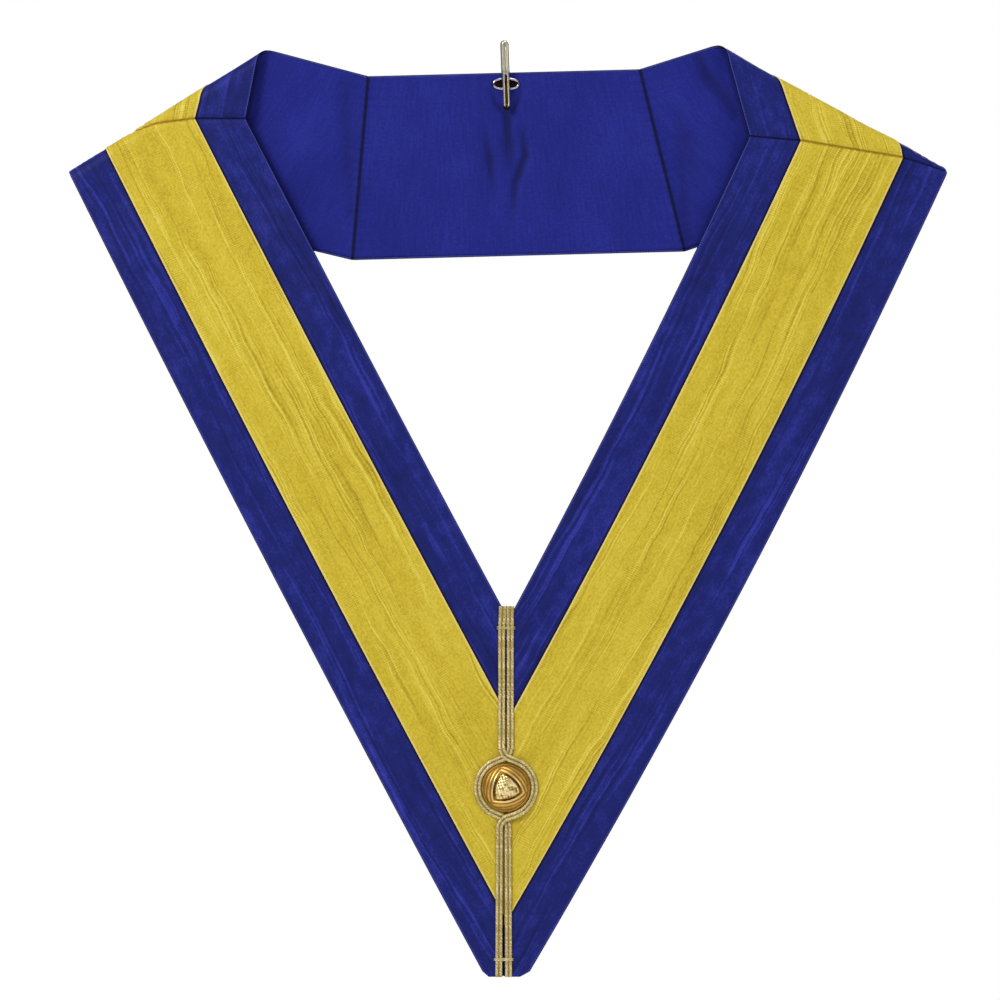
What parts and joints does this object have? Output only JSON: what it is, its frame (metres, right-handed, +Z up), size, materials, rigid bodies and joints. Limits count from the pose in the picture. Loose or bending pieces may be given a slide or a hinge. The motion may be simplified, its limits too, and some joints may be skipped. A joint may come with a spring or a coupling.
{
  "type": "masonic collar",
  "caption": "Pointed ribbon collar in blue moire with a yellow stripe, folded at the shoulders, with gold braid, a gilt button and a neck fitting.",
  "frame": {"origin": "middle of the oval eyelet at the top of the neck band, where the collar hangs", "axes": "+Z up, from the clipped tip to the neck band; +X to the right as the fronts are seen; -Y out of the front, towards the viewer"},
  "size_m": [0.4755, 0.017, 0.5068],
  "materials": {
    "blue_ribbon": "moire watered ribbon",
    "blue_lining": "plain fine weave",
    "yellow_ribbon": "moire watered ribbon",
    "gold_braid": "metallic thread",
    "gilt": "polished gilt",
    "nickel": "polished"
  },
  "bodies": {
    "root": {"neck_band": "blue_ribbon", "neck_band_lining": "blue_lining", "neck_band_stripe": "yellow_ribbon", "left_shoulder": "blue_ribbon", "left_shoulder_lining": "blue_lining", "left_shoulder_stripe": "yellow_ribbon", "right_shoulder": "blue_ribbon", "right_shoulder_lining": "blue_lining", "right_shoulder_stripe": "yellow_ribbon", "left_front": "blue_ribbon", "left_front_stripe": "yellow_ribbon", "right_front": "blue_ribbon", "right_front_stripe": "yellow_ribbon", "braid_over": "gold_braid", "braid_under": "gold_braid", "button": "gilt", "eyelet": "nickel", "neck_hook": "nickel"}
  },
  "joints": []
}
